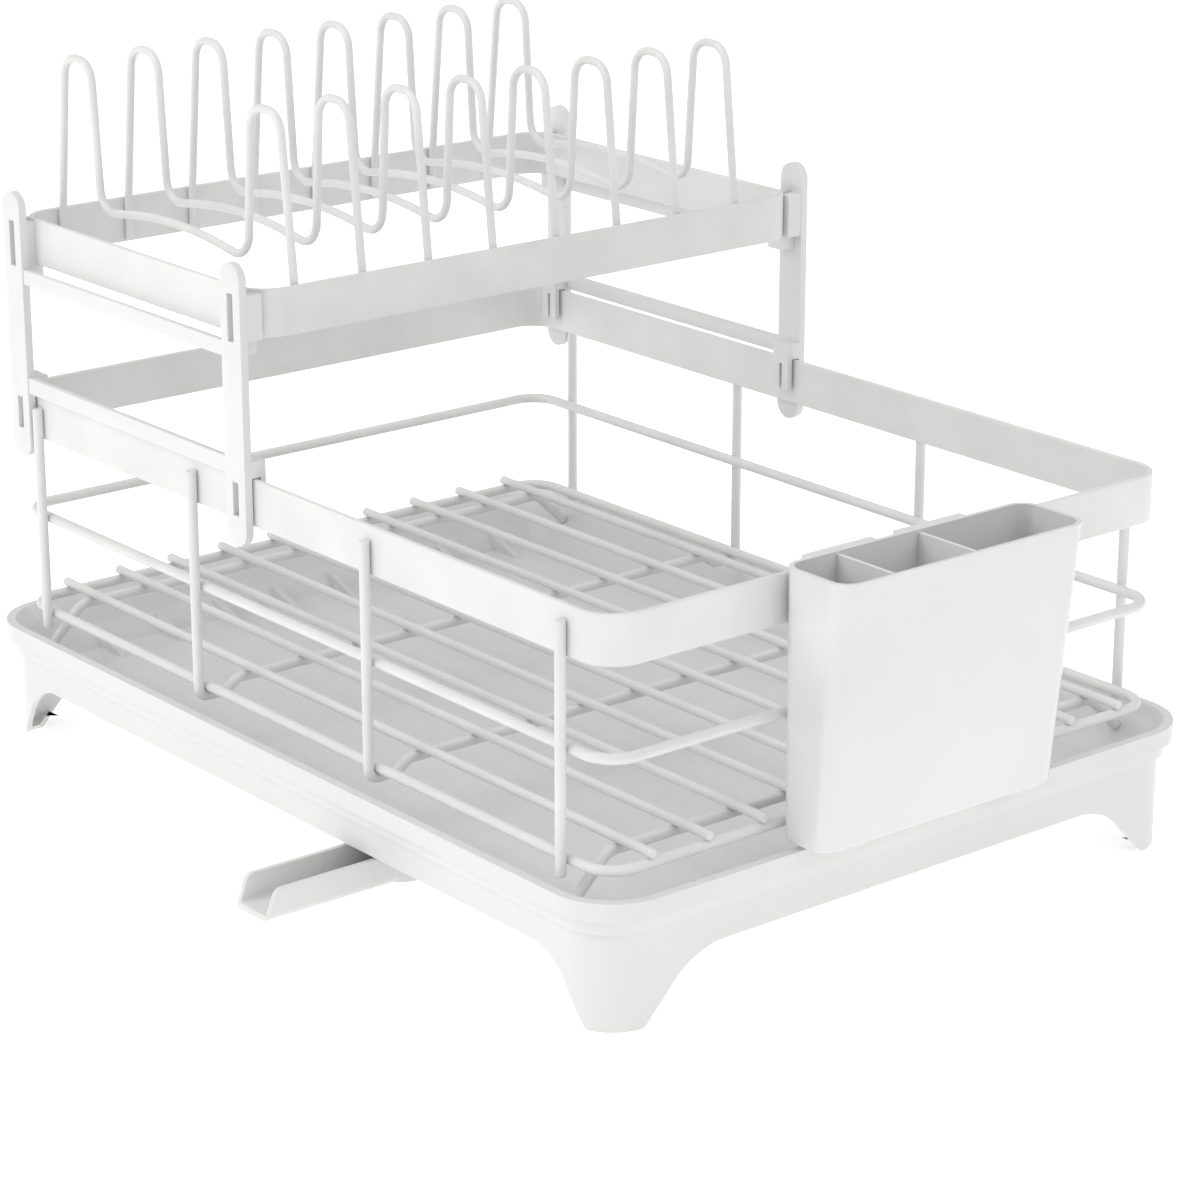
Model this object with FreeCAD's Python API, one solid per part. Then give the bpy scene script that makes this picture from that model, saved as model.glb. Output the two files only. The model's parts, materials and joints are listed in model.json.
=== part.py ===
import FreeCAD
import Part
import math
import os

from FreeCAD import Vector

# Dish drying rack. Millimetres, +Z up, Z = 0 at the soles of the feet.
# Everything is drawn about the middle of the lower rack, +X along its length,
# then moved so that the origin lies under the middle of the whole object.

# ---- driving dimensions ----------------------------------------------------
weld_bite = 0.05            # how far welded wires sink into each other
part_gap = 0.3              # room between parts that lift or turn
fuse_bite = 1.0             # how far moulded features sink into each other

# lower rack, coated steel
rack_half_x = 187.0         # outer half length of the flat band
rack_half_y = 134.0
band_thick = 2.0
lower_band_bottom = 128.5
lower_band_top = 146.8
rack_corner = 14.0
rail_radius = 2.0
mid_rail_z = 95.5
base_ring_z = 55.4
floor_wire_radius = 1.8
floor_wire_count = 10
floor_wire_pitch = 25.2
floor_wire_half_length = 187.0
upright_radius = 2.0
upright_top = 141.5
u_wire_x = 55.0
u_wire_dip_run = 12.0       # run under the base ring before it rises
u_wire_rise_run = 18.0
u_wire_side_bend = 4.0
u_wire_rise_bend = 5.0
corner_upright_x = 165.0
corner_upright_foot = 50.0
end_wire_x = 168.0
end_wire_tip_y = 132.7
end_wire_tip_z = 41.2
end_wire_turn_y = 118.0
end_wire_bend = 9.0

# tray and its leg base, moulded plastic
tray_half_x = 199.0         # outside of the rim
tray_half_y = 146.0
tray_corner = 25.0
rim_top = 49.4
rim_bottom = 42.4
apron_bottom = 36.6
apron_inset_top = 3.0
apron_inset_bottom = 3.5
skirt_inset = 5.5           # outside of the leg base, in from the rim
skirt_thick = 2.4
skirt_top = 43.4
shoulder_inset = 15.0       # where the border of the basin gets steeper
shoulder_z = 39.0
floor_inset = 22.0
basin_floor = 31.0
basin_thick = 2.4
basin_slope_drop = 3.5      # upright thickness of the sloping border
rim_inner_inset = 4.0
rib_pitch = 29.3
rib_count = 8
rib_width = 3.0
rib_reach = 15.0            # how far a rib runs in over the floor
rib_root_run = 8.0

arch_top = 25.0
long_arch_foot = 182.0      # half width of the arch at the counter
long_arch_shoulder = 170.0
long_arch_shoulder_z = 20.0
short_arch_foot = 123.0
short_arch_shoulder = 104.0
short_arch_shoulder_z = 19.4
short_arch_top = 23.5
arch_corner = 15.0          # run of the sloping upper corner of each arch
arch_shoulder_round = 4.0
arch_top_round = 8.0
foot_pad_height = 3.0
foot_pad_diagonal = 313.5   # the soles lie outside |x| + |y| of this

# outlet under the tray and the spout that turns on it
pivot_x = 51.0
pivot_y = -120.0
outlet_bore = 4.2
spigot_radius = 6.6
flange_radius = 8.1
flange_bottom = 17.5
flange_top = 20.2
spout_bottom = 10.8
spout_top = 22.6
spout_wall = 2.0
spout_half_width = 10.0
spout_cup_radius = 12.0
spout_wall_end_y = -181.0
spout_lip_y = -185.5
spout_end_round = 4.0
spout_edge_round = 3.0

# upper tier
upper_band_left = -182.0
upper_band_right = -15.0
upper_band_half_y = 131.0
upper_corner = 13.0
upper_band_bottom = 198.4
upper_band_top = 216.6
plate_wire_radius = 1.6
plate_wire_count = 8
plate_wire_first_y = -112.0
plate_wire_pitch = 30.4
plate_wire_foot_z = 199.5
plate_wire_bend_z = 214.0
plate_wire_top_z = 278.0
plate_wire_outer_top = 10.5     # inset of the outer top corner from the band
plate_wire_inner_top = 29.0
plate_wire_trough = 33.0
plate_wire_trough_z = 219.6
plate_wire_crown_z = 227.0
plate_wire_foot_bend = 20.0
plate_wire_top_bend = 8.5
plate_wire_trough_bend = 9.0
plate_wire_crown_bend = 220.0

# the two ladder frames that carry the upper tier
post_x_left = -174.5
post_x_right = -22.5
post_width = 12.6
post_thick = 3.2
post_inner_y = 134.7
post_bottom = 120.4
post_top = 227.3
slot_width = 3.7
slot_spans = ((198.0, 216.0), (132.0, 145.0))     # heights of the upper and lower slots
rail_thick = 2.2
upper_rail_bottom = 191.5
upper_rail_top = 197.3
lower_rail_bottom = 147.2
lower_rail_top = 153.5
hook_width = 9.0
hook_shift = 2.0            # hooks and ledges sit beside the posts, clear of the corners
hook_leaf_outer_y = 130.9
hook_leaf_thick = 2.2
hook_leaf_bottom = 134.5
hook_slit = 1.6
lug_wall = 4.2
ledge_width = 8.0
ledge_reach = 6.7

# utensil holder
holder_back_x = 187.6
holder_front_x = 220.5
holder_y_low = -59.5
holder_y_high = 57.3
holder_top = 150.6
holder_bottom = 51.0
holder_corner = 8.0
holder_wall = 1.8
holder_floor = 2.4
holder_chamfer = 0.8
holder_taper_x = 10.0
holder_taper_y = 1.5
holder_corner_taper = 1.0
holder_divider_ys = (-34.0, 4.5)
divider_thick = 1.6
holder_hook_width = 32.0
holder_hook_thick = 2.8
holder_hook_ys = (-29.0, 14.0)
holder_hook_drop = 14.0
holder_foot_ys = (-43.0, 41.0)
holder_foot_size = (6.0, 15.0, 5.0)
holder_foot_drop = 1.7        # less than the gap above the rim of the tray

# ---- place of the origin ---------------------------------------------------
middle_x = (holder_front_x - tray_half_x) / 2
middle_y = (spout_lip_y + tray_half_y) / 2


def export(name, shape):
    placed = shape.copy()
    placed.translate(Vector(-middle_x, -middle_y, 0))
    placed = placed.removeSplitter()
    solids = placed.Solids
    if len(solids) != 1 or not placed.isValid():
        raise ValueError(f"{name}: {len(solids)} solids, valid {placed.isValid()}")
    solids[0].exportStep(f"parts/{name}.step")
    box = solids[0].BoundBox
    print(f"{name:24s} {solids[0].Volume / 1000:9.2f} cm3   z {box.ZMin:7.2f} {box.ZMax:7.2f}")


def box_between(low, high):
    size = [high[i] - low[i] for i in range(3)]
    return Part.makeBox(size[0], size[1], size[2], Vector(*low))


def rounded_outline(x_low, x_high, y_low, y_high, radius, z):
    # closed wire: four straight sides joined by quarter circles
    diagonal = radius * math.sqrt(0.5)
    corners = (
        (x_high - radius, y_low + radius, 1, -1),
        (x_high - radius, y_high - radius, 1, 1),
        (x_low + radius, y_high - radius, -1, 1),
        (x_low + radius, y_low + radius, -1, -1),
    )
    arcs = []
    for index, (x, y, side_x, side_y) in enumerate(corners):
        first = Vector(x, y + side_y * radius, z)
        last = Vector(x + side_x * radius, y, z)
        if index % 2 == 1:
            first, last = last, first
        middle = Vector(x + side_x * diagonal, y + side_y * diagonal, z)
        arcs.append((first, middle, last))
    edges = []
    for index, (first, middle, last) in enumerate(arcs):
        edges.append(Part.Arc(first, middle, last).toShape())
        edges.append(Part.LineSegment(last, arcs[(index + 1) % 4][0]).toShape())
    return Part.Wire(edges)


def centred_outline(half_x, half_y, radius, z):
    return rounded_outline(-half_x, half_x, -half_y, half_y, radius, z)


def prism(wire, height):
    return Part.Face(wire).extrude(Vector(0, 0, height))


def tray_outline(inset, z):
    radius = tray_corner - inset
    return centred_outline(tray_half_x - inset, tray_half_y - inset, radius, z)


def tray_step(inset_low, z_low, inset_high, z_high):
    # one sloping step of the tray, between two of its outlines
    wires = [tray_outline(inset_low, z_low), tray_outline(inset_high, z_high)]
    return Part.makeLoft(wires, True, True)


def edges_at_height(shape, z):
    chosen = []
    for edge in shape.Edges:
        if abs(edge.BoundBox.ZMin - z) < 1e-4 and abs(edge.BoundBox.ZMax - z) < 1e-4:
            chosen.append(edge)
    return chosen


def flat_band(x_low, x_high, y_low, y_high, radius, z_low, z_high):
    # strip bent to a closed ring, its edges softened by the coating
    height = z_high - z_low
    outer = prism(rounded_outline(x_low, x_high, y_low, y_high, radius, z_low), height)
    t = band_thick
    inner_wire = rounded_outline(x_low + t, x_high - t, y_low + t, y_high - t, radius - t, z_low)
    band = outer.cut(prism(inner_wire, height))
    edges = edges_at_height(band, z_low) + edges_at_height(band, z_high)
    return band.makeFillet(0.6, edges)


def bent_path(points, radii):
    # straight runs with a tangent arc at each inner point
    edges = []
    start = points[0]
    for index in range(1, len(points) - 1):
        corner = points[index]
        back = (points[index - 1] - corner).normalize()
        ahead = (points[index + 1] - corner).normalize()
        half_turn = (math.pi - back.getAngle(ahead)) / 2
        reach = radii[index - 1] * math.tan(half_turn)
        first = corner + back * reach
        last = corner + ahead * reach
        inward = (back + ahead).normalize()
        depth = radii[index - 1] / math.cos(half_turn) - radii[index - 1]
        edges.append(Part.LineSegment(start, first).toShape())
        edges.append(Part.Arc(first, corner + inward * depth, last).toShape())
        start = last
    edges.append(Part.LineSegment(start, points[-1]).toShape())
    return Part.Wire(edges)


def swept_wire(path, start, direction, radius):
    profile = Part.Wire(Part.makeCircle(radius, start, direction))
    shape = path.makePipeShell([profile], True, False)
    expected = math.pi * radius ** 2 * path.Length
    if abs(shape.Volume / expected - 1) > 0.01:
        raise ValueError(f"swept wire holds {shape.Volume:.1f}, not {expected:.1f}")
    return shape


def bent_wire(points, radii, radius):
    vectors = [Vector(*point) for point in points]
    path = bent_path(vectors, radii)
    return swept_wire(path, vectors[0], vectors[1] - vectors[0], radius)


def straight_wire(low, high, radius):
    axis = Vector(*high) - Vector(*low)
    rod = Part.makeCylinder(radius, axis.Length, Vector(*low), axis)
    return rod.makeFillet(0.5, [edge for edge in rod.Edges if len(edge.Vertexes) == 1])


def wire_ring(z):
    # round wire bent to the same plan as the lower band
    half_x = rack_half_x - rail_radius
    half_y = rack_half_y - rail_radius
    path = centred_outline(half_x, half_y, rack_corner - rail_radius, z)
    start = Vector(half_x - rack_corner + rail_radius, -half_y, z)
    return swept_wire(path, start, Vector(1, 0, 0), rail_radius)


# ---- lower rack ------------------------------------------------------------
def make_floor_wire(index):
    y = (index - (floor_wire_count - 1) / 2) * floor_wire_pitch
    z = base_ring_z + rail_radius + floor_wire_radius - weld_bite
    end = floor_wire_half_length
    return straight_wire((-end, y, z), (end, y, z), floor_wire_radius)


def upright_y():
    return rack_half_y + upright_radius - weld_bite


def cross_run_z():
    # cross runs lie against the undersides of the floor wires
    floor_z = base_ring_z + rail_radius + floor_wire_radius - weld_bite
    return floor_z - floor_wire_radius - upright_radius + weld_bite


def make_u_wire(x):
    # down one side, under the base ring, up to the floor wires and back
    y = upright_y()
    dip = base_ring_z - rail_radius - upright_radius + weld_bite
    under = y - u_wire_dip_run
    run = y - u_wire_rise_run
    half = [(y, upright_top), (y, dip), (under, dip), (run, cross_run_z())]
    points = [(x, -side, z) for side, z in half]
    points += [(x, side, z) for side, z in reversed(half)]
    radii = [u_wire_side_bend] + 4 * [u_wire_rise_bend] + [u_wire_side_bend]
    return bent_wire(points, radii, upright_radius)


def make_end_wire(x):
    # cross wire whose ends turn down to stand on the border of the tray
    points = [
        (x, -end_wire_tip_y, end_wire_tip_z),
        (x, -end_wire_turn_y, cross_run_z()),
        (x, end_wire_turn_y, cross_run_z()),
        (x, end_wire_tip_y, end_wire_tip_z),
    ]
    return bent_wire(points, [end_wire_bend, end_wire_bend], upright_radius)


def make_corner_upright(side_x, side_y):
    x = side_x * corner_upright_x
    y = side_y * upright_y()
    return straight_wire((x, y, corner_upright_foot), (x, y, upright_top), upright_radius)


# ---- tray, legs and spout --------------------------------------------------
def make_basin_hollow():
    floor_part = tray_step(floor_inset, basin_floor, shoulder_inset, shoulder_z)
    border = tray_step(shoulder_inset, shoulder_z, rim_inner_inset, rim_top + 0.1)
    return floor_part.fuse(border)


def make_drip_tray():
    rim = prism(tray_outline(0, rim_bottom), rim_top - rim_bottom)
    rim = rim.makeFillet(1.2, edges_at_height(rim, rim_top) + edges_at_height(rim, rim_bottom))
    apron = tray_step(apron_inset_bottom, apron_bottom, apron_inset_top, skirt_top + 1)
    groove_top = skirt_top + 0.1
    shell = rim.fuse(apron)
    shell = shell.cut(prism(tray_outline(skirt_inset - 0.2, 0), groove_top))

    # the underside follows the basin one wall below it
    inner_inset = skirt_inset + skirt_thick + 0.2
    under_shoulder = shoulder_z - basin_slope_drop
    under_floor = basin_floor - basin_thick
    under_inset = floor_inset - fuse_bite
    bowl = tray_step(under_inset, under_floor, shoulder_inset, under_shoulder)
    bowl = bowl.fuse(tray_step(shoulder_inset, under_shoulder, inner_inset, groove_top))
    tray = shell.fuse(bowl)
    tray = tray.cut(make_basin_hollow())

    # wedge ribs run in from the short walls and fade out on the floor
    rib_start = tray_half_x - shoulder_inset + fuse_bite
    rib_root = rib_start - rib_root_run
    rib_low = under_floor + fuse_bite / 2
    rib_end = tray_half_x - floor_inset - rib_reach
    for side in (-1, 1):
        for index in range(rib_count):
            y = (index - (rib_count - 1) / 2) * rib_pitch
            corners = [
                Vector(side * rib_start, y - rib_width / 2, shoulder_z),
                Vector(side * rib_end, y - rib_width / 2, basin_floor),
                Vector(side * rib_end, y - rib_width / 2, rib_low),
                Vector(side * rib_root, y - rib_width / 2, rib_low),
            ]
            face = Part.Face(Part.makePolygon(corners + corners[:1]))
            tray = tray.fuse(face.extrude(Vector(0, rib_width, 0)))

    # outlet: a spigot with a snap flange round its foot
    centre = Vector(pivot_x, pivot_y, flange_bottom)
    spigot_height = basin_floor - flange_bottom - 0.3
    tray = tray.fuse(Part.makeCylinder(spigot_radius, spigot_height, centre))
    flange = Part.makeCylinder(flange_radius, flange_top - flange_bottom, centre)
    flange = flange.makeFillet(0.8, edges_at_height(flange, flange_bottom))
    tray = tray.fuse(flange)
    bore = Part.makeCylinder(outlet_bore, 40.0, centre - Vector(0, 0, 5))
    return tray.cut(bore)


def arch_cutter(foot, shoulder, shoulder_z_high, top):
    # trapezoid opening with rounded upper corners, in the XZ plane
    wide = foot + (foot - shoulder) * 5.0 / shoulder_z_high
    points = [
        Vector(0, 0, -5),
        Vector(-wide, 0, -5),
        Vector(-shoulder, 0, shoulder_z_high),
        Vector(-shoulder + arch_corner, 0, top),
        Vector(shoulder - arch_corner, 0, top),
        Vector(shoulder, 0, shoulder_z_high),
        Vector(wide, 0, -5),
        Vector(0, 0, -5),
    ]
    radii = [arch_shoulder_round, arch_top_round, arch_top_round, arch_shoulder_round]
    path = bent_path(points[1:-1], radii)
    closing = Part.LineSegment(points[-2], points[1]).toShape()
    return Part.Face(Part.Wire(path.Edges + [closing]))


def make_leg_base():
    radius = tray_corner - skirt_inset
    half_x = tray_half_x - skirt_inset
    half_y = tray_half_y - skirt_inset
    outer = prism(centred_outline(half_x, half_y, radius, 0), skirt_top)
    inner_half_x = half_x - skirt_thick
    inner_half_y = half_y - skirt_thick
    inner_wire = centred_outline(inner_half_x, inner_half_y, radius - skirt_thick, foot_pad_height)
    base = outer.cut(prism(inner_wire, skirt_top))

    long_arch = arch_cutter(long_arch_foot, long_arch_shoulder, long_arch_shoulder_z, arch_top)
    long_cut = long_arch.extrude(Vector(0, 4 * half_y, 0))
    long_cut.translate(Vector(0, -2 * half_y, 0))
    short_arch = arch_cutter(
        short_arch_foot, short_arch_shoulder, short_arch_shoulder_z, short_arch_top
    )
    short_cut = short_arch.extrude(Vector(0, 4 * half_x, 0))
    short_cut.translate(Vector(0, -2 * half_x, 0))
    short_cut.rotate(Vector(0, 0, 0), Vector(0, 0, 1), 90)
    base = base.cut(long_cut).cut(short_cut)

    # each sole is a crescent inside the corner of the skirt
    reach = foot_pad_diagonal
    corners = [Vector(reach, 0, 0), Vector(0, reach, 0), Vector(-reach, 0, 0), Vector(0, -reach, 0)]
    diamond = Part.Face(Part.makePolygon(corners + corners[:1]))
    inside = prism(inner_wire, foot_pad_height)
    inside.translate(Vector(0, 0, -foot_pad_height))
    return base.cut(inside.common(diamond.extrude(Vector(0, 0, foot_pad_height))))


def make_drain_spout():
    cup = Part.makeCylinder(
        spout_cup_radius, spout_top - spout_bottom, Vector(pivot_x, pivot_y, spout_bottom)
    )
    channel = box_between(
        (pivot_x - spout_half_width, spout_lip_y, spout_bottom),
        (pivot_x + spout_half_width, pivot_y, spout_top),
    )
    long_edges = [
        edge for edge in channel.Edges
        if edge.BoundBox.YLength > 1 and edge.BoundBox.ZMax < spout_bottom + 0.1
    ]
    spout = cup.fuse(channel.makeFillet(spout_edge_round, long_edges))
    inner_half = spout_half_width - spout_wall
    floor_top = spout_bottom + spout_wall
    cup_room = Part.makeCylinder(
        spout_cup_radius - spout_wall,
        spout_top - 2 * spout_wall - spout_bottom,
        Vector(pivot_x, pivot_y, floor_top),
    )
    spout = spout.cut(cup_room)
    open_start = pivot_y - spout_cup_radius - 2.0
    covered = box_between(
        (pivot_x - inner_half, open_start - 1, floor_top),
        (pivot_x + inner_half, pivot_y, spout_top - spout_wall),
    )
    trough = box_between(
        (pivot_x - inner_half, spout_lip_y - 1, floor_top),
        (pivot_x + inner_half, open_start, spout_top + 1),
    )
    trough_edges = [
        edge for edge in trough.Edges
        if edge.BoundBox.YLength > 1 and edge.BoundBox.ZMax < floor_top + 0.1
    ]
    trough = trough.makeFillet(spout_edge_round - spout_wall, trough_edges)
    spout = spout.cut(covered).cut(trough)
    bore = Part.makeCylinder(
        spigot_radius + part_gap, 2 * spout_wall + 1,
        Vector(pivot_x, pivot_y, spout_top - spout_wall - 1),
    )
    spout = spout.cut(bore)

    # the side walls end in a raked edge with a rounded top corner
    side_x = pivot_x - 2 * spout_half_width
    corners = [
        Vector(side_x, spout_wall_end_y, spout_top),
        Vector(side_x, spout_lip_y, spout_bottom),
        Vector(side_x, spout_lip_y - 5, spout_bottom),
        Vector(side_x, spout_lip_y - 5, spout_top),
    ]
    end = Part.Face(Part.makePolygon(corners + corners[:1]))
    spout = spout.cut(end.extrude(Vector(4 * spout_half_width, 0, 0)))
    top_corners = [
        edge for edge in edges_at_height(spout, spout_top)
        if edge.BoundBox.YMax < spout_wall_end_y + 0.01
    ]
    return spout.makeFillet(spout_end_round, top_corners)


# ---- upper tier ------------------------------------------------------------
def make_plate_wire(index):
    y = plate_wire_first_y + index * plate_wire_pitch
    right = upper_band_right - band_thick - plate_wire_radius + weld_bite
    left = upper_band_left + band_thick + plate_wire_radius - weld_bite
    inside = band_thick + plate_wire_radius
    half = [
        (0.0, plate_wire_foot_z),
        (0.0, plate_wire_bend_z),
        (plate_wire_outer_top - inside, plate_wire_top_z),
        (plate_wire_inner_top - inside, plate_wire_top_z),
        (plate_wire_trough - inside, plate_wire_trough_z),
    ]
    points = [(right - inset, y, z) for inset, z in half]
    points.append(((right + left) / 2, y, plate_wire_crown_z))
    points += [(left + inset, y, z) for inset, z in reversed(half)]
    half_radii = [plate_wire_foot_bend, plate_wire_top_bend, plate_wire_top_bend, plate_wire_trough_bend]
    radii = half_radii + [plate_wire_crown_bend] + half_radii[::-1]
    return bent_wire(points, radii, plate_wire_radius)


def make_side_frame(side):
    # drawn for the back of the rack, turned over for the front
    outer_y = post_inner_y + post_thick
    rail_y = post_inner_y + (post_thick - rail_thick) / 2
    frame = box_between(
        (post_x_left, rail_y, upper_rail_bottom),
        (post_x_right, rail_y + rail_thick, upper_rail_top),
    )
    frame = frame.fuse(
        box_between(
            (post_x_left, rail_y, lower_rail_bottom),
            (post_x_right, rail_y + rail_thick, lower_rail_top),
        )
    )
    middle = (post_x_left + post_x_right) / 2
    for post_x in (post_x_left, post_x_right):
        outline = rounded_outline(
            post_x - post_width / 2, post_x + post_width / 2, post_bottom, post_top,
            post_width / 2 - 0.05, 0,
        )
        post = prism(outline, post_thick)
        post.rotate(Vector(0, 0, 0), Vector(1, 0, 0), 90)
        post.translate(Vector(0, outer_y, 0))
        frame = frame.fuse(post)

        # hook over the lower band: a bridge and a split leaf inside the band
        hook_x = post_x + hook_shift
        leaf_inner_y = hook_leaf_outer_y - hook_leaf_thick
        bridge = box_between(
            (hook_x - hook_width / 2, leaf_inner_y, lower_rail_bottom),
            (hook_x + hook_width / 2, post_inner_y + fuse_bite, lower_rail_top),
        )
        leaf = box_between(
            (hook_x - hook_width / 2, leaf_inner_y, hook_leaf_bottom),
            (hook_x + hook_width / 2, hook_leaf_outer_y, lower_rail_top),
        )
        hook = bridge.fuse(leaf)
        slit = box_between(
            (hook_x - hook_slit / 2, leaf_inner_y - 1, hook_leaf_bottom - 1),
            (hook_x + hook_slit / 2, hook_leaf_outer_y + 0.05, lower_rail_bottom - 2),
        )
        frame = frame.fuse(hook.cut(slit))

        # lugs that grip the upper band from outside, and a ledge below it
        for lug_side in (-1, 1):
            lug_x = post_x + lug_side * (slot_width + lug_wall) / 2
            lug = box_between(
                (lug_x - lug_wall / 2, post_inner_y - ledge_reach, upper_band_bottom),
                (lug_x + lug_wall / 2, post_inner_y + fuse_bite, upper_band_top - fuse_bite),
            )
            frame = frame.fuse(lug.cut(make_upper_band_space()))
        ledge_x = hook_x if post_x < middle else post_x - hook_shift
        ledge = box_between(
            (ledge_x - ledge_width / 2, post_inner_y - ledge_reach, upper_rail_bottom + fuse_bite),
            (ledge_x + ledge_width / 2, post_inner_y + fuse_bite, upper_band_bottom),
        )
        frame = frame.fuse(ledge)
        for slot_low, slot_high in slot_spans:
            frame = frame.cut(
                box_between(
                    (post_x - slot_width / 2, post_inner_y - 0.2, slot_low),
                    (post_x + slot_width / 2, outer_y + 1, slot_high),
                )
            )
    if side < 0:
        frame = frame.mirror(Vector(0, 0, 0), Vector(0, 1, 0))
    return frame


def make_upper_band_space():
    # everything inside the outer face of the upper band
    outline = rounded_outline(
        upper_band_left, upper_band_right, -upper_band_half_y, upper_band_half_y,
        upper_corner, upper_band_bottom - 5,
    )
    return prism(outline, upper_band_top - upper_band_bottom + 10)


# ---- utensil holder --------------------------------------------------------
def holder_outline(inset, z):
    # the cup narrows towards its foot; its back stays upright
    down = (holder_top - z) / (holder_top - holder_bottom)
    return rounded_outline(
        holder_back_x + inset,
        holder_front_x - holder_taper_x * down - inset,
        holder_y_low + holder_taper_y * down + inset,
        holder_y_high - holder_taper_y * down - inset,
        holder_corner - holder_corner_taper * down - inset,
        z,
    )


def holder_body(inset, z_low, z_high):
    return Part.makeLoft([holder_outline(inset, z_low), holder_outline(inset, z_high)], True, True)


def make_utensil_holder():
    outer = holder_body(0, holder_bottom + holder_chamfer, holder_top)
    sole = [
        holder_outline(holder_chamfer, holder_bottom),
        holder_outline(0, holder_bottom + holder_chamfer),
    ]
    outer = outer.fuse(Part.makeLoft(sole, True, True))
    hollow = holder_body(holder_wall, holder_bottom + holder_floor, holder_top + 0.5)
    holder = outer.cut(hollow)

    # two dividers make three compartments of different widths
    for y in holder_divider_ys:
        divider = box_between(
            (holder_back_x + 0.5, y - divider_thick / 2, holder_bottom + 1),
            (holder_front_x, y + divider_thick / 2, holder_top - 1.0),
        )
        holder = holder.fuse(divider.common(holder_body(0.5, holder_bottom, holder_top)))

    # flat hooks reach back over the lower band and down inside it
    bridge_bottom = lower_band_top + part_gap
    bridge_top = bridge_bottom + holder_hook_thick
    leaf_outer_x = rack_half_x - band_thick - 0.4
    leaf_inner_x = leaf_outer_x - 1.8
    for y in holder_hook_ys:
        low_y = y - holder_hook_width / 2
        high_y = y + holder_hook_width / 2
        bridge = box_between(
            (leaf_inner_x, low_y, bridge_bottom), (holder_back_x + 0.9, high_y, bridge_top)
        )
        leaf = box_between(
            (leaf_inner_x, low_y, lower_band_top - holder_hook_drop),
            (leaf_outer_x, high_y, bridge_top),
        )
        holder = holder.fuse(bridge.fuse(leaf))

    # two small feet under the front edge
    depth, width, height = holder_foot_size
    foot_x = holder_front_x - holder_taper_x - 1.5
    for y in holder_foot_ys:
        foot = box_between(
            (foot_x - depth, y - width / 2, holder_bottom - holder_foot_drop),
            (foot_x, y + width / 2, holder_bottom - holder_foot_drop + height),
        )
        upright_edges = [edge for edge in foot.Edges if edge.BoundBox.ZLength > height - 0.1]
        foot = foot.makeFillet(2.5, upright_edges)
        holder = holder.fuse(foot.common(holder_body(-0.5, holder_bottom - 3, holder_top)))
    return holder


# ---- write every piece -----------------------------------------------------
os.makedirs("parts", exist_ok=True)

rack_plan = (-rack_half_x, rack_half_x, -rack_half_y, rack_half_y, rack_corner)
export("lower_band_ring", flat_band(*rack_plan, lower_band_bottom, lower_band_top))
export("mid_rail_ring", wire_ring(mid_rail_z))
export("base_ring", wire_ring(base_ring_z))
for number in range(floor_wire_count):
    export(f"floor_wire_{number + 1:02d}", make_floor_wire(number))
export("u_wire_left", make_u_wire(-u_wire_x))
export("u_wire_right", make_u_wire(u_wire_x))
export("end_cross_wire_left", make_end_wire(-end_wire_x))
export("end_cross_wire_right", make_end_wire(end_wire_x))
corner_sides = ((-1, -1), (1, -1), (1, 1), (-1, 1))
for number, (side_x, side_y) in enumerate(corner_sides):
    export(f"corner_upright_{number + 1}", make_corner_upright(side_x, side_y))

export("drip_tray", make_drip_tray())
export("leg_base", make_leg_base())
export("drain_spout", make_drain_spout())

upper_plan = (upper_band_left, upper_band_right, -upper_band_half_y, upper_band_half_y, upper_corner)
export("upper_band_ring", flat_band(*upper_plan, upper_band_bottom, upper_band_top))
for number in range(plate_wire_count):
    export(f"plate_wire_{number + 1}", make_plate_wire(number))
export("side_frame_front", make_side_frame(-1))
export("side_frame_back", make_side_frame(1))
export("utensil_holder", make_utensil_holder())
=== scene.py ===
import bpy
import json
import math
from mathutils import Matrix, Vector


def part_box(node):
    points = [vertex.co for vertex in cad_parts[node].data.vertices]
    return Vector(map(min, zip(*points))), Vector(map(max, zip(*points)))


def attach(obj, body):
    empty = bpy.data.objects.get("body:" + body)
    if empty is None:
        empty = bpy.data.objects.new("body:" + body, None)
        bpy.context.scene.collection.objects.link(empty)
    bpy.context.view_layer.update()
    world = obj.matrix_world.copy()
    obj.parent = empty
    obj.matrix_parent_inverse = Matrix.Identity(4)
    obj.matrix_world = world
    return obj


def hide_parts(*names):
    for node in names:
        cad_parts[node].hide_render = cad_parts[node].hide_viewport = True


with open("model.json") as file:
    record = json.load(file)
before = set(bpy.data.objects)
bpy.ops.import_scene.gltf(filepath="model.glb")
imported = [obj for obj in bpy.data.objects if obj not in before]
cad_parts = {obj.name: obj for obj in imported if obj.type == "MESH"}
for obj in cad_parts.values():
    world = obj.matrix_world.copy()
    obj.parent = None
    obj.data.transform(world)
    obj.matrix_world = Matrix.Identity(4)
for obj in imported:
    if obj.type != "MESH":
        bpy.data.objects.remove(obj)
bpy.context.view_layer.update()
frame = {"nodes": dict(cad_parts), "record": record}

mm = 0.001
print("frame loaded, nodes:", len(frame["nodes"]))


def boxMiddle(node):
    low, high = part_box(node)
    return [(low[i] + high[i]) / 2 for i in range(3)]


# places below are measured from the middle of the wire basket
rackX, rackY = boxMiddle("lower_band_ring")[:2]


# the camera comes first so that everything can be judged through it
cameraSpec = {
    "place": (1.0567, -0.8504, 0.5365),
    "target": (-0.0714, 0.0696, 0.0421),
    "lens": 110.13,
}

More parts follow.
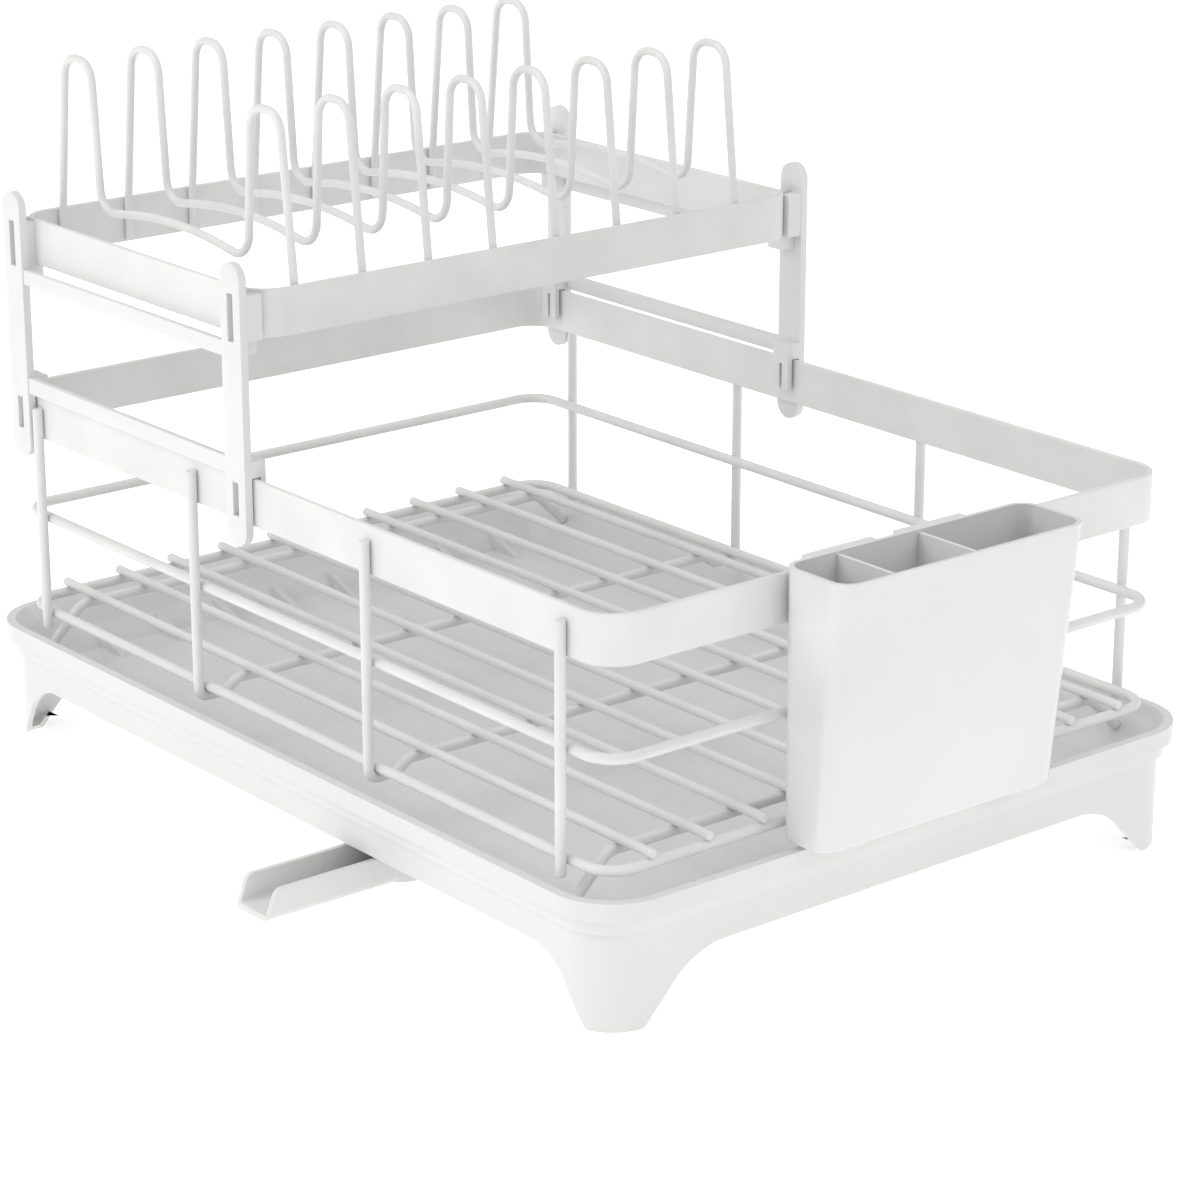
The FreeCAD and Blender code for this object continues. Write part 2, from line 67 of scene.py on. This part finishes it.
def addCamera(spec):
    shift = Vector((rackX, rackY, 0))
    bpy.ops.object.camera_add(location=Vector(spec["place"]) + shift)
    camera = bpy.context.object
    camera.name = "mainCamera"
    camera.data.lens = spec["lens"]
    camera.data.sensor_width = 36
    aim = Vector(spec["target"]) - Vector(spec["place"])
    camera.rotation_euler = aim.to_track_quat("-Z", "Y").to_euler()
    camera.data.clip_end = 20
    bpy.context.scene.camera = camera

addCamera(cameraSpec)


# every finish is drawn in Object coordinates, which are metres in the frame

def newMaterial(name):
    material = bpy.data.materials.new(name)
    material.use_nodes = True
    tree = material.node_tree
    shader = tree.nodes["Principled BSDF"]
    where = tree.nodes.new("ShaderNodeTexCoord")
    return material, tree, shader, where.outputs["Object"]


def noise(tree, where, scale, detail, rough=0.5):
    node = tree.nodes.new("ShaderNodeTexNoise")
    node.inputs["Scale"].default_value = scale
    node.inputs["Detail"].default_value = detail
    node.inputs["Roughness"].default_value = rough
    tree.links.new(where, node.inputs["Vector"])
    return node.outputs["Fac"]


def spread(tree, value, low, high):
    # takes the middle of a noise out to low and high
    node = tree.nodes.new("ShaderNodeMapRange")
    node.inputs["From Min"].default_value = 0.3
    node.inputs["From Max"].default_value = 0.7
    node.inputs["To Min"].default_value = low
    node.inputs["To Max"].default_value = high
    tree.links.new(value, node.inputs["Value"])
    return node.outputs["Result"]


def tint(tree, value, dark, light):
    node = tree.nodes.new("ShaderNodeMix")
    node.data_type = "RGBA"
    node.inputs["A"].default_value = (*dark, 1)
    node.inputs["B"].default_value = (*light, 1)
    tree.links.new(value, node.inputs["Factor"])
    return node.outputs["Result"]


def bumpFrom(tree, shader, heights):
    # each height is (value, strength, distance in metres)
    last = None
    for value, strength, distance in heights:
        node = tree.nodes.new("ShaderNodeBump")
        node.inputs["Strength"].default_value = strength
        node.inputs["Distance"].default_value = distance
        tree.links.new(value, node.inputs["Height"])
        if last:
            tree.links.new(last, node.inputs["Normal"])
        last = node.outputs["Normal"]
    tree.links.new(last, shader.inputs["Normal"])


powderSpec = {
    "dark": (0.72, 0.72, 0.71), "light": (0.78, 0.78, 0.77), "rough": (0.34, 0.46),
    "drift": 35, "peel": 900, "peelBump": 0.12, "peelHeight": 0.12 * mm,
    "coat": 0.25, "coatRough": 0.2,
}

def powderCoat(spec):
    # baked powder on steel: a faint orange peel under a soft gloss
    material, tree, shader, where = newMaterial("powderCoatedSteel")
    drift = spread(tree, noise(tree, where, spec["drift"], 2), 0, 1)
    peel = noise(tree, where, spec["peel"], 2, 0.4)
    tree.links.new(tint(tree, drift, spec["dark"], spec["light"]), shader.inputs["Base Color"])
    tree.links.new(spread(tree, peel, *spec["rough"]), shader.inputs["Roughness"])
    shader.inputs["Coat Weight"].default_value = spec["coat"]
    shader.inputs["Coat Roughness"].default_value = spec["coatRough"]
    bumpFrom(tree, shader, [(peel, spec["peelBump"], spec["peelHeight"])])
    return material


mouldSpec = {
    "flow": 12, "skin": 1600, "skinHeight": 0.05 * mm,
    "waves": 45, "waveBump": 0.08, "waveHeight": 0.6 * mm,
    "shine": 0.5, "glow": 0.06, "glowDepth": 4 * mm,
}
trayTone = {
    "dark": (0.71, 0.71, 0.70), "light": (0.755, 0.755, 0.745), "rough": (0.26, 0.36), "skinBump": 0.18,
}
frameTone = {
    "dark": (0.73, 0.73, 0.725), "light": (0.78, 0.78, 0.775), "rough": (0.28, 0.38), "skinBump": 0.14,
}
cupTone = {
    "dark": (0.72, 0.722, 0.726), "light": (0.77, 0.772, 0.776), "rough": (0.14, 0.22), "skinBump": 0.05,
}

def mouldedPlastic(name, mould, tone):
    # injection moulded plastic: slow flow marks, and the fine skin of the tool
    material, tree, shader, where = newMaterial(name)
    flow = spread(tree, noise(tree, where, mould["flow"], 3), 0, 1)
    skin = noise(tree, where, mould["skin"], 2, 0.6)
    waves = noise(tree, where, mould["waves"], 1)
    tree.links.new(tint(tree, flow, tone["dark"], tone["light"]), shader.inputs["Base Color"])
    tree.links.new(spread(tree, skin, *tone["rough"]), shader.inputs["Roughness"])
    shader.inputs["Specular IOR Level"].default_value = mould["shine"]
    shader.inputs["Subsurface Weight"].default_value = mould["glow"]
    shader.inputs["Subsurface Radius"].default_value = 3 * (mould["glowDepth"],)
    waveBump = (waves, mould["waveBump"], mould["waveHeight"])
    skinBump = (skin, tone["skinBump"], mould["skinHeight"])
    bumpFrom(tree, shader, [waveBump, skinBump])
    return material


finishes = {
    "coated_steel": powderCoat(powderSpec),
    "tray_plastic": mouldedPlastic("mouldedTrayPlastic", mouldSpec, trayTone),
    "frame_plastic": mouldedPlastic("mouldedFramePlastic", mouldSpec, frameTone),
    "holder_plastic": mouldedPlastic("polishedCupPlastic", mouldSpec, cupTone),
}
slotOf = {part["node"]: part["material_slot"] for part in frame["record"]["subparts"]}


def finish(piece, slotName):
    piece.data.materials.clear()
    piece.data.materials.append(finishes[slotName])


for nodeName, node in frame["nodes"].items():
    for slot in node.material_slots:
        slot.material = finishes[slotOf[nodeName]]
print("finishes on the frame's own nodes")


def deselectAll():
    if bpy.context.object and bpy.context.object.mode != "OBJECT":
        bpy.ops.object.mode_set(mode="OBJECT")
    bpy.ops.object.select_all(action="DESELECT")


def addBlock(name, low, high):
    deselectAll()
    middle = [(low[i] + high[i]) / 2 for i in range(3)]
    bpy.ops.mesh.primitive_cube_add(size=1, location=middle)
    block = bpy.context.object
    block.name = name
    block.scale = [high[i] - low[i] for i in range(3)]
    bpy.ops.object.transform_apply(location=True, rotation=True, scale=True)
    return block


def addRod(name, middle, radius, depth, sides=48):
    deselectAll()
    bpy.ops.mesh.primitive_cylinder_add(vertices=sides, radius=radius, depth=depth, location=middle)
    rod = bpy.context.object
    rod.name = name
    bpy.ops.object.transform_apply(location=True, rotation=True, scale=True)
    return rod


def selectFaces(piece, test):
    # faces whose centre and normal pass the test; ends in edit mode
    bpy.context.view_layer.objects.active = piece
    bpy.ops.object.mode_set(mode="EDIT")
    bpy.ops.mesh.select_mode(type="FACE")
    bpy.ops.mesh.select_all(action="DESELECT")
    bpy.ops.object.mode_set(mode="OBJECT")
    for face in piece.data.polygons:
        face.select = test(face.center, face.normal)
    bpy.ops.object.mode_set(mode="EDIT")


def selectEdges(piece, test):
    bpy.context.view_layer.objects.active = piece
    bpy.ops.object.mode_set(mode="EDIT")
    bpy.ops.mesh.select_mode(type="EDGE")
    bpy.ops.mesh.select_all(action="DESELECT")
    bpy.ops.object.mode_set(mode="OBJECT")
    points = piece.data.vertices
    for edge in piece.data.edges:
        edge.select = test(points[edge.vertices[0]].co, points[edge.vertices[1]].co)
    bpy.ops.object.mode_set(mode="EDIT")


def upright(a, b):
    return abs(a.x - b.x) < 1e-6 and abs(a.y - b.y) < 1e-6


def roundCorners(piece, radius, segments):
    selectEdges(piece, upright)
    bpy.ops.mesh.bevel(offset=radius, segments=segments, affect="EDGES")
    bpy.ops.object.mode_set(mode="OBJECT")


def step(inward, along):
    # goes in by inward, then along the face's own normal, from the selected face
    if inward > 0:
        bpy.ops.mesh.inset(thickness=inward, depth=along, use_even_offset=True)
    else:
        bpy.ops.mesh.extrude_region_shrink_fatten(TRANSFORM_OT_shrink_fatten={"value": along})


def carve(piece, cutter, mode="DIFFERENCE"):
    deselectAll()
    bpy.context.view_layer.objects.active = piece
    piece.select_set(True)
    cut = piece.modifiers.new("carve", "BOOLEAN")
    cut.operation = mode
    cut.solver = "EXACT"
    cut.object = cutter
    bpy.ops.object.modifier_apply(modifier=cut.name)
    bpy.data.objects.remove(cutter, do_unlink=True)


def soften(piece, width, segments=3, angle=35):
    deselectAll()
    bpy.context.view_layer.objects.active = piece
    piece.select_set(True)
    edge = piece.modifiers.new("soften", "BEVEL")
    edge.width = width
    edge.segments = segments
    edge.limit_method = "ANGLE"
    edge.angle_limit = math.radians(angle)
    edge.harden_normals = False
    bpy.ops.object.modifier_apply(modifier=edge.name)
    bpy.ops.object.shade_smooth_by_angle(angle=math.radians(angle))


traySpec = {
    "corner": 25 * mm, "rim": 3.6 * mm, "lipDepth": 7 * mm, "edge": 0.7 * mm,
    "border": (11.4 * mm, 10.4 * mm), "dish": (7 * mm, 8 * mm),     # each is (in, down)
    "apronIn": 3 * mm, "apronDeep": 5.8 * mm, "apronDraft": 0.5 * mm, "apronWall": 1.8 * mm,
    "groove": (2.8 * mm, 6.9 * mm), "belly": (6.9 * mm, 8 * mm), "bellyFoot": (6 * mm, 6.9 * mm),
    "ribs": 8, "ribPitch": 29.3 * mm, "ribWidth": 3 * mm, "ribStart": 15 * mm, "ribReach": 22 * mm,
    "ribHeight": 8 * mm, "ribTip": 0.2 * mm, "ribSink": 1.2 * mm, "ribRoot": 8 * mm,
    "outlet": (51 * mm, -120 * mm), "bore": 4.2 * mm, "boreDepth": 60 * mm,
    "spigot": 6.6 * mm, "spigotFoot": 17.5 * mm, "spigotSink": 0.3 * mm,
    "flange": 8.1 * mm, "flangeDeep": 2.7 * mm,
}

def makeTray(spec):
    low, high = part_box("drip_tray")
    top = high[2]
    lip = top - spec["lipDepth"]
    tray = addBlock("dripTray", (low[0], low[1], lip), high)
    roundCorners(tray, spec["corner"], 16)
    # the basin goes down from the rim in two slopes
    selectFaces(tray, lambda middle, normal: normal.z > 0.9)
    step(spec["rim"], 0)
    step(spec["border"][0], -spec["border"][1])
    step(spec["dish"][0], -spec["dish"][1])
    bpy.ops.object.mode_set(mode="OBJECT")
    # underneath, the apron, the groove for the leg base and the belly
    selectFaces(tray, lambda middle, normal: normal.z < -0.9)
    step(spec["apronIn"], 0)
    step(spec["apronDraft"], spec["apronDeep"])
    step(spec["apronWall"], 0)
    step(0, -spec["groove"][1])
    step(spec["groove"][0], 0)
    step(*spec["belly"])
    step(*spec["bellyFoot"])
    bpy.ops.object.mode_set(mode="OBJECT")
    floorTop = top - spec["border"][1] - spec["dish"][1]
    x = rackX + spec["outlet"][0]
    y = rackY + spec["outlet"][1]
    spigotTop = floorTop - spec["spigotSink"]
    depth = spigotTop - spec["spigotFoot"]
    spigot = addRod("spigot", (x, y, spigotTop - depth / 2), spec["spigot"], depth)
    carve(tray, spigot, "UNION")
    flangeMiddle = spec["spigotFoot"] + spec["flangeDeep"] / 2
    flange = addRod("flange", (x, y, flangeMiddle), spec["flange"], spec["flangeDeep"])
    carve(tray, flange, "UNION")
    carve(tray, addRod("bore", (x, y, floorTop), spec["bore"], spec["boreDepth"]))
    # wedge ribs that fade out on the floor at both short walls
    middleX = (low[0] + high[0]) / 2
    middleY = (low[1] + high[1]) / 2
    reach = (high[0] - low[0]) / 2 - spec["ribStart"]
    for side in (-1, 1):
        for number in range(spec["ribs"]):
            ribY = middleY + (number - (spec["ribs"] - 1) / 2) * spec["ribPitch"]
            outer = middleX + side * (reach + mm)
            inner = middleX + side * (reach - spec["ribReach"])
            ends = sorted((outer, inner))
            rib = addBlock(
                "rib", (ends[0], ribY - spec["ribWidth"] / 2, floorTop - spec["ribSink"]),
                (ends[1], ribY + spec["ribWidth"] / 2, floorTop + spec["ribHeight"]),
            )
            for point in rib.data.vertices:
                if point.co.z > floorTop and abs(point.co.x - inner) < 1e-5:
                    point.co.z = floorTop + spec["ribTip"]
                if point.co.z < floorTop and abs(point.co.x - outer) < 1e-5:
                    point.co.x -= side * spec["ribRoot"]
            carve(tray, rib, "UNION")
    soften(tray, spec["edge"])
    finish(tray, "tray_plastic")
    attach(tray, "stand")
    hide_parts("drip_tray")

makeTray(traySpec)
print("tray")


legSpec = {
    "corner": 19.5 * mm, "wall": 2.4 * mm, "edge": 0.45 * mm, "toe": 2.6 * mm,
    "pad": 3 * mm, "padDiagonal": 313.5 * mm,
    "longArch": {"foot": 182 * mm, "shoulder": 170 * mm, "shoulderUp": 20 * mm, "top": 25 * mm},
    "shortArch": {"foot": 123 * mm, "shoulder": 104 * mm, "shoulderUp": 19.4 * mm, "top": 23.5 * mm},
    "archBend": 12 * mm, "archDepth": (300 * mm, 400 * mm),
}

def addArch(arch, bend, middle, halfDepth, alongX):
    # a block with sloping ends whose upper corners are cut and rounded
    deep = 5 * mm       # how far it reaches below the soles
    block = addBlock(
        "arch", (-arch["shoulder"], -halfDepth, -deep), (arch["shoulder"], halfDepth, arch["top"])
    )
    lean = (arch["foot"] - arch["shoulder"]) / arch["shoulderUp"]
    for point in block.data.vertices:
        side = 1 if point.co.x > 0 else -1
        if point.co.z < 0:
            point.co.x = side * (arch["foot"] + lean * deep)
        else:
            point.co.x = side * (arch["foot"] - lean * arch["top"])
    selectEdges(block, lambda a, b: a.z > 0 and b.z > 0 and abs(a.x - b.x) < 1e-6)
    bpy.ops.mesh.bevel(offset=bend, segments=12, affect="EDGES")
    bpy.ops.object.mode_set(mode="OBJECT")
    deselectAll()
    block.select_set(True)
    bpy.context.view_layer.objects.active = block
    block.location = middle
    if not alongX:
        block.rotation_euler = (0, 0, math.pi / 2)
    bpy.ops.object.transform_apply(location=True, rotation=True, scale=True)
    return block


def makeLegBase(spec):
    low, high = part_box("leg_base")
    base = addBlock("legBase", low, high)
    roundCorners(base, spec["corner"], 16)
    selectFaces(base, lambda middle, normal: normal.z > 0.9)
    step(spec["wall"], 0)
    step(0, -(high[2] - low[2] - spec["pad"]))
    bpy.ops.object.mode_set(mode="OBJECT")
    middle = ((low[0] + high[0]) / 2, (low[1] + high[1]) / 2, 0)
    bend = spec["archBend"]
    carve(base, addArch(spec["longArch"], bend, middle, spec["archDepth"][0], True))
    carve(base, addArch(spec["shortArch"], bend, middle, spec["archDepth"][1], False))
    # the soles are crescents, and the toes are rounded where the arches meet them
    diamond = addRod("diamond", middle, spec["padDiagonal"], 2 * spec["pad"], 4)
    inner = addBlock(
        "inner", (low[0] + spec["wall"], low[1] + spec["wall"], -spec["pad"]),
        (high[0] - spec["wall"], high[1] - spec["wall"], spec["pad"]),
    )
    roundCorners(inner, spec["corner"] - spec["wall"], 16)
    carve(inner, diamond, "INTERSECT")
    carve(base, inner)

    def onToe(a, b):
        ground = 0.1 * mm
        near = 0.2 * mm
        if max(a.z, b.z) > ground:
            return False
        longToe = abs(abs(a.x - middle[0]) - spec["longArch"]["foot"]) < near
        shortToe = abs(abs(a.y - middle[1]) - spec["shortArch"]["foot"]) < near
        return (longToe and abs(a.x - b.x) < 1e-5) or (shortToe and abs(a.y - b.y) < 1e-5)

    selectEdges(base, onToe)
    bpy.ops.mesh.bevel(offset=spec["toe"], segments=5, affect="EDGES")
    bpy.ops.object.mode_set(mode="OBJECT")
    soften(base, spec["edge"], 2)
    finish(base, "tray_plastic")
    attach(base, "stand")
    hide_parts("leg_base")

makeLegBase(legSpec)
print("leg base")


cupSpec = {
    "corner": 8 * mm, "wall": 1.8 * mm, "floor": 2.4 * mm, "taperX": 10 * mm, "taperY": 1.5 * mm,
    "top": 150.6 * mm, "bottom": 51 * mm, "sole": 1 * mm, "edge": 0.5 * mm,
    "back": rackX + 187.6 * mm, "front": rackX + 220.5 * mm,
    "low": rackY - 59.5 * mm, "high": rackY + 57.3 * mm,
    "dividers": (rackY - 34 * mm, rackY + 4.5 * mm), "dividerWall": 1.6 * mm, "dividerSink": 0.8 * mm,
    "hooks": (rackY - 29 * mm, rackY + 14 * mm), "hookSink": 0.9 * mm,
    "hookWidth": 32 * mm, "hookThick": 2.8 * mm, "hookDrop": 14 * mm,
    "leaf": (rackX + 182.8 * mm, rackX + 184.6 * mm), "bridge": 147.1 * mm, "bandTop": 146.8 * mm,
    "feet": (rackY - 43 * mm, rackY + 41 * mm), "footDrop": 1.7 * mm, "footRise": 2.3 * mm,
    "footSize": (6 * mm, 15 * mm), "footIn": 1.5 * mm, "footCorner": 2.5 * mm,
}

def cupOutline(name, spec, inset, floor, top):
    # a block rounded at its corners, then narrowed towards its foot
    block = addBlock(
        name,
        (spec["back"] + inset, spec["low"] + inset, floor),
        (spec["front"] - inset, spec["high"] - inset, top),
    )
    roundCorners(block, spec["corner"] - inset, 14)
    middleY = (spec["low"] + spec["high"]) / 2
    halfY = (spec["high"] - spec["low"]) / 2
    for point in block.data.vertices:
        down = (spec["top"] - point.co.z) / (spec["top"] - spec["bottom"])
        forward = (point.co.x - spec["back"]) / (spec["front"] - spec["back"])
        point.co.x -= spec["taperX"] * down * forward
        point.co.y -= spec["taperY"] * down * (point.co.y - middleY) / halfY
    return block


def makeHolder(spec):
    cup = cupOutline("utensilHolder", spec, 0, spec["bottom"], spec["top"])
    hollowFoot = spec["bottom"] + spec["floor"]
    carve(cup, cupOutline("hollow", spec, spec["wall"], hollowFoot, spec["top"] + 5 * mm))
    selectFaces(cup, lambda middle, normal: normal.z < -0.9 and middle.z < spec["bottom"] + mm)
    bpy.ops.mesh.region_to_loop()
    bpy.ops.mesh.bevel(offset=spec["sole"], segments=3, affect="EDGES")
    bpy.ops.object.mode_set(mode="OBJECT")
    half = spec["dividerWall"] / 2
    for y in spec["dividers"]:
        wall = addBlock(
            "divider", (spec["back"] + spec["dividerSink"], y - half, spec["bottom"] + mm),
            (spec["front"] - spec["dividerSink"], y + half, spec["top"] - mm),
        )
        for point in wall.data.vertices:
            down = (spec["top"] - point.co.z) / (spec["top"] - spec["bottom"])
            if point.co.x > spec["back"] + 5 * mm:
                point.co.x -= spec["taperX"] * down
        carve(cup, wall, "UNION")
    bridgeTop = spec["bridge"] + spec["hookThick"]
    for y in spec["hooks"]:
        lowY = y - spec["hookWidth"] / 2
        highY = y + spec["hookWidth"] / 2
        hook = addBlock(
            "hook", (spec["leaf"][0], lowY, spec["bandTop"] - spec["hookDrop"]),
            (spec["leaf"][1], highY, bridgeTop),
        )
        bridge = addBlock(
            "bridge", (spec["leaf"][0], lowY, spec["bridge"]),
            (spec["back"] + spec["hookSink"], highY, bridgeTop),
        )
        carve(hook, bridge, "UNION")
        carve(cup, hook, "UNION")
    footFront = spec["front"] - spec["taperX"] - spec["footIn"]
    footBack = footFront - spec["footSize"][0]
    halfFoot = spec["footSize"][1] / 2
    for y in spec["feet"]:
        foot = addBlock(
            "foot", (footBack, y - halfFoot, spec["bottom"] - spec["footDrop"]),
            (footFront, y + halfFoot, spec["bottom"] + spec["footRise"]),
        )
        roundCorners(foot, spec["footCorner"], 5)
        carve(cup, foot, "UNION")
    soften(cup, spec["edge"], 3)
    finish(cup, "holder_plastic")
    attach(cup, "utensil_holder")
    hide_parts("utensil_holder")

makeHolder(cupSpec)
print("utensil holder")


# side frames and spout keep their drawn shape, with edges softened as a moulding's are
softened = {
    "side_frame_front": ("sideFrameFront", "upper_tier", "frame_plastic", 0.55 * mm),
    "side_frame_back": ("sideFrameBack", "upper_tier", "frame_plastic", 0.55 * mm),
    "drain_spout": ("drainSpout", "spout", "tray_plastic", 0.5 * mm),
}

def makeSoftened(nodeName, name, body, slotName, width):
    deselectAll()
    piece = frame["nodes"][nodeName].copy()
    piece.data = piece.data.copy()
    piece.name = name
    bpy.context.collection.objects.link(piece)
    piece.parent = None
    piece.matrix_world.identity()
    bpy.context.view_layer.objects.active = piece
    piece.select_set(True)
    bpy.ops.object.mode_set(mode="EDIT")
    bpy.ops.mesh.select_all(action="SELECT")
    bpy.ops.mesh.remove_doubles(threshold=0.00001)
    bpy.ops.mesh.dissolve_limited(angle_limit=math.radians(1))
    bpy.ops.object.mode_set(mode="OBJECT")
    soften(piece, width)
    finish(piece, slotName)
    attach(piece, body)
    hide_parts(nodeName)

for nodeName, (name, body, slotName, width) in softened.items():
    makeSoftened(nodeName, name, body, slotName, width)
print("side frames and spout")


floorSpec = {
    "size": 8, "below": 0.5 * mm, "grain": 6, "rough": 0.9,
    "dark": (0.80, 0.80, 0.80), "light": (0.82, 0.82, 0.82), "glow": 0.55,
}

def addFloor(spec):
    # a softly lit sheet, so that the ground stays white under the tray
    deselectAll()
    bpy.ops.mesh.primitive_plane_add(size=spec["size"], location=(0, 0, -spec["below"]))
    floor = bpy.context.object
    floor.name = "studioFloor"
    material, tree, shader, where = newMaterial("paleFloor")
    grain = spread(tree, noise(tree, where, spec["grain"], 2), 0, 1)
    tree.links.new(tint(tree, grain, spec["dark"], spec["light"]), shader.inputs["Base Color"])
    shader.inputs["Roughness"].default_value = spec["rough"]
    shader.inputs["Emission Color"].default_value = (1, 1, 1, 1)
    shader.inputs["Emission Strength"].default_value = spec["glow"]
    floor.data.materials.append(material)


skyStrength = 0.64
lights = {
    "keyLight": {"place": (-0.9, -2.6, 2.0), "size": 2.0, "power": 32},
    "sideLight": {"place": (2.8, 0.6, 1.6), "size": 1.6, "power": 9},
    "topLight": {"place": (0.0, 0.2, 3.2), "size": 2.6, "power": 18},
}

def addLights(specs, aim):
    for name, spec in specs.items():
        bpy.ops.object.light_add(type="AREA", location=spec["place"])
        light = bpy.context.object
        light.name = name
        light.data.shape = "SQUARE"
        light.data.size = spec["size"]
        light.data.energy = spec["power"]
        towards = Vector(aim) - Vector(spec["place"])
        light.rotation_euler = towards.to_track_quat("-Z", "Y").to_euler()
    world = bpy.data.worlds.new("studioWorld")
    bpy.context.scene.world = world
    world.use_nodes = True
    background = world.node_tree.nodes["Background"]
    background.inputs["Color"].default_value = (1, 1, 1, 1)
    background.inputs["Strength"].default_value = skyStrength


bpy.context.scene.view_settings.view_transform = "Standard"     # keeps white white
addFloor(floorSpec)
addLights(lights, (0, 0, 0.12))
print("floor and light")
